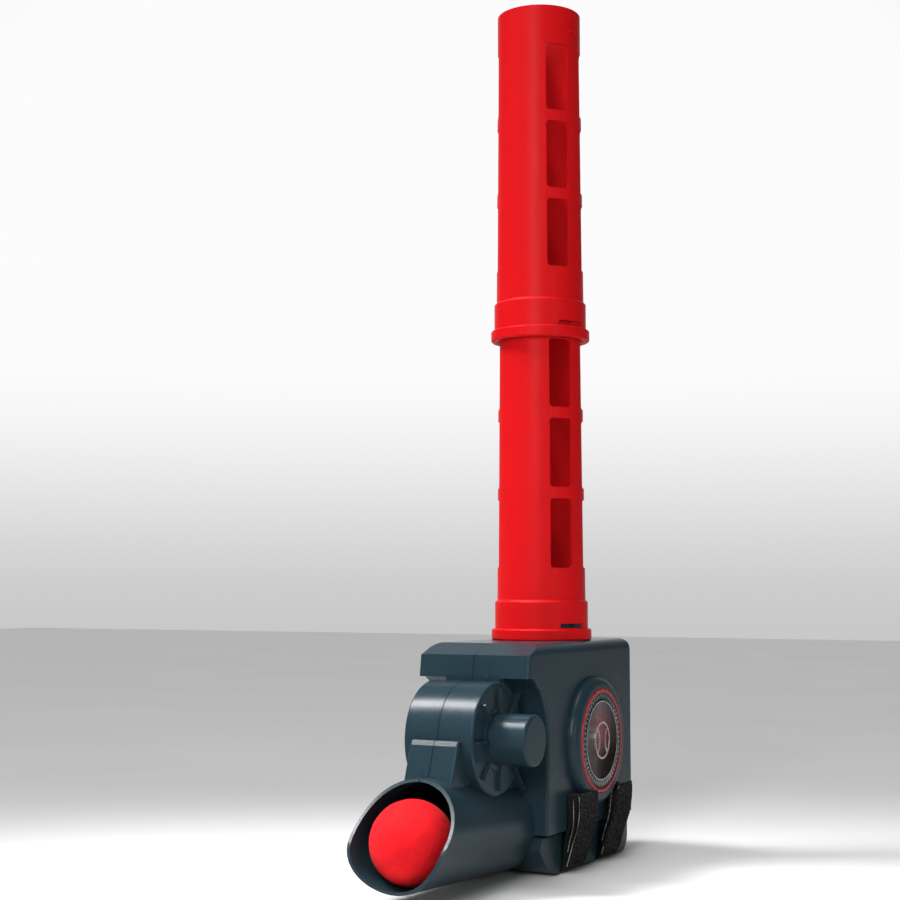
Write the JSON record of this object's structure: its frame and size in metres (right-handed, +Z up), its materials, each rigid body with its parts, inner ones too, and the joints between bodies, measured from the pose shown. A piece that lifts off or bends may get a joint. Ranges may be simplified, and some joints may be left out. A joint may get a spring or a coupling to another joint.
{
  "type": "ball pitching machine",
  "caption": "Battery ball launcher: slate two-shell housing with wheel drum and barrel, round side boss, straps, and a tall red ball magazine in stacked windowed tubes.",
  "frame": {"origin": "where the magazine's vertical axis meets the flat underside of the housing", "axes": "+Z up along the magazine axis, -Y the direction the ball leaves, +X to the machine's right (the side with the motor boss and the badge)"},
  "size_m": [0.125, 0.3478, 0.7451],
  "materials": {
    "slate_plastic": "satin moulded plastic",
    "red_plastic": "satin moulded plastic",
    "ball_foam": "matte foam rubber",
    "badge_print": "gloss printed film",
    "webbing": "woven and looped",
    "gear_plastic": "moulded acetal",
    "dark_plastic": "fine texture",
    "wheel_rubber": "matte",
    "steel": "bright",
    "motor_can": "zinc plated",
    "bronze": "sintered",
    "cell_wrap": "gloss wrap",
    "board_green": "solder mask"
  },
  "bodies": {
    "housing": {"housing_right": "slate_plastic", "housing_left": "slate_plastic", "magazine_socket": "slate_plastic", "badge_disc": "badge_print", "feed_hopper": "dark_plastic", "feed_chute": "dark_plastic", "launch_ramp": "wheel_rubber", "launch_motor": "motor_can", "feed_motor": "motor_can", "wheel_bushing": "bronze", "battery_box": "dark_plastic", "battery_cells": "cell_wrap", "battery_contacts": "steel", "circuit_board": "board_green", "switch_base": "dark_plastic", "housing_screws": "steel", "strap_front": "webbing", "strap_rear": "webbing", "door_hinge_pin": "steel"},
    "launch_wheel": {"wheel_hub": "gear_plastic", "wheel_tyre": "wheel_rubber", "wheel_shaft": "steel"},
    "feed_rotor": {"feed_rotor": "gear_plastic", "feed_gear": "gear_plastic"},
    "feed_pinion": {"feed_pinion": "gear_plastic", "feed_shaft": "steel"},
    "magazine_lower": {"magazine_lower": "red_plastic"},
    "magazine_upper": {"magazine_upper": "red_plastic"},
    "battery_door": {"battery_door": "slate_plastic", "door_screw": "steel"},
    "power_switch": {"switch_knob": "dark_plastic"},
    "ball": {"ball": "ball_foam"}
  },
  "joints": [
    {"name": "launch_wheel_spin", "type": "hinge", "parent": "housing", "child": "launch_wheel", "pos_m": [0, -0.146, 0.115], "axis": [1, 0, 0], "continuous": true},
    {"name": "feed_rotor_spin", "type": "hinge", "parent": "housing", "child": "feed_rotor", "pos_m": [0, -0.004, 0.104], "axis": [1, 0, 0], "continuous": true},
    {"name": "feed_pinion_spin", "type": "hinge", "parent": "housing", "child": "feed_pinion", "pos_m": [0, 0.036, 0.05928], "axis": [1, 0, 0], "continuous": true},
    {"name": "magazine_lower_twist", "type": "hinge", "parent": "housing", "child": "magazine_lower", "pos_m": [0, 0, 0.1883], "axis": [0, 0, 1], "range_deg": [0, 20]},
    {"name": "magazine_upper_twist", "type": "hinge", "parent": "magazine_lower", "child": "magazine_upper", "pos_m": [0, 0, 0.4501], "axis": [0, 0, 1], "range_deg": [0, 20]},
    {"name": "battery_door_open", "type": "hinge", "parent": "housing", "child": "battery_door", "pos_m": [0, 0.0806, 0.014], "axis": [-1, 0, 0], "range_deg": [0, 90]},
    {"name": "power_switch_slide", "type": "slide", "parent": "housing", "child": "power_switch", "axis": [1, 0, 0], "range_m": [0, 0.006]},
    {"name": "ball_launch", "type": "slide", "parent": "housing", "child": "ball", "axis": [0, -0.998, 0.0628], "range_m": [0, 0.25]}
  ],
  "couplings": [
    {"joint": "feed_pinion_spin", "follows": "feed_rotor_spin", "ratio": -5}
  ]
}
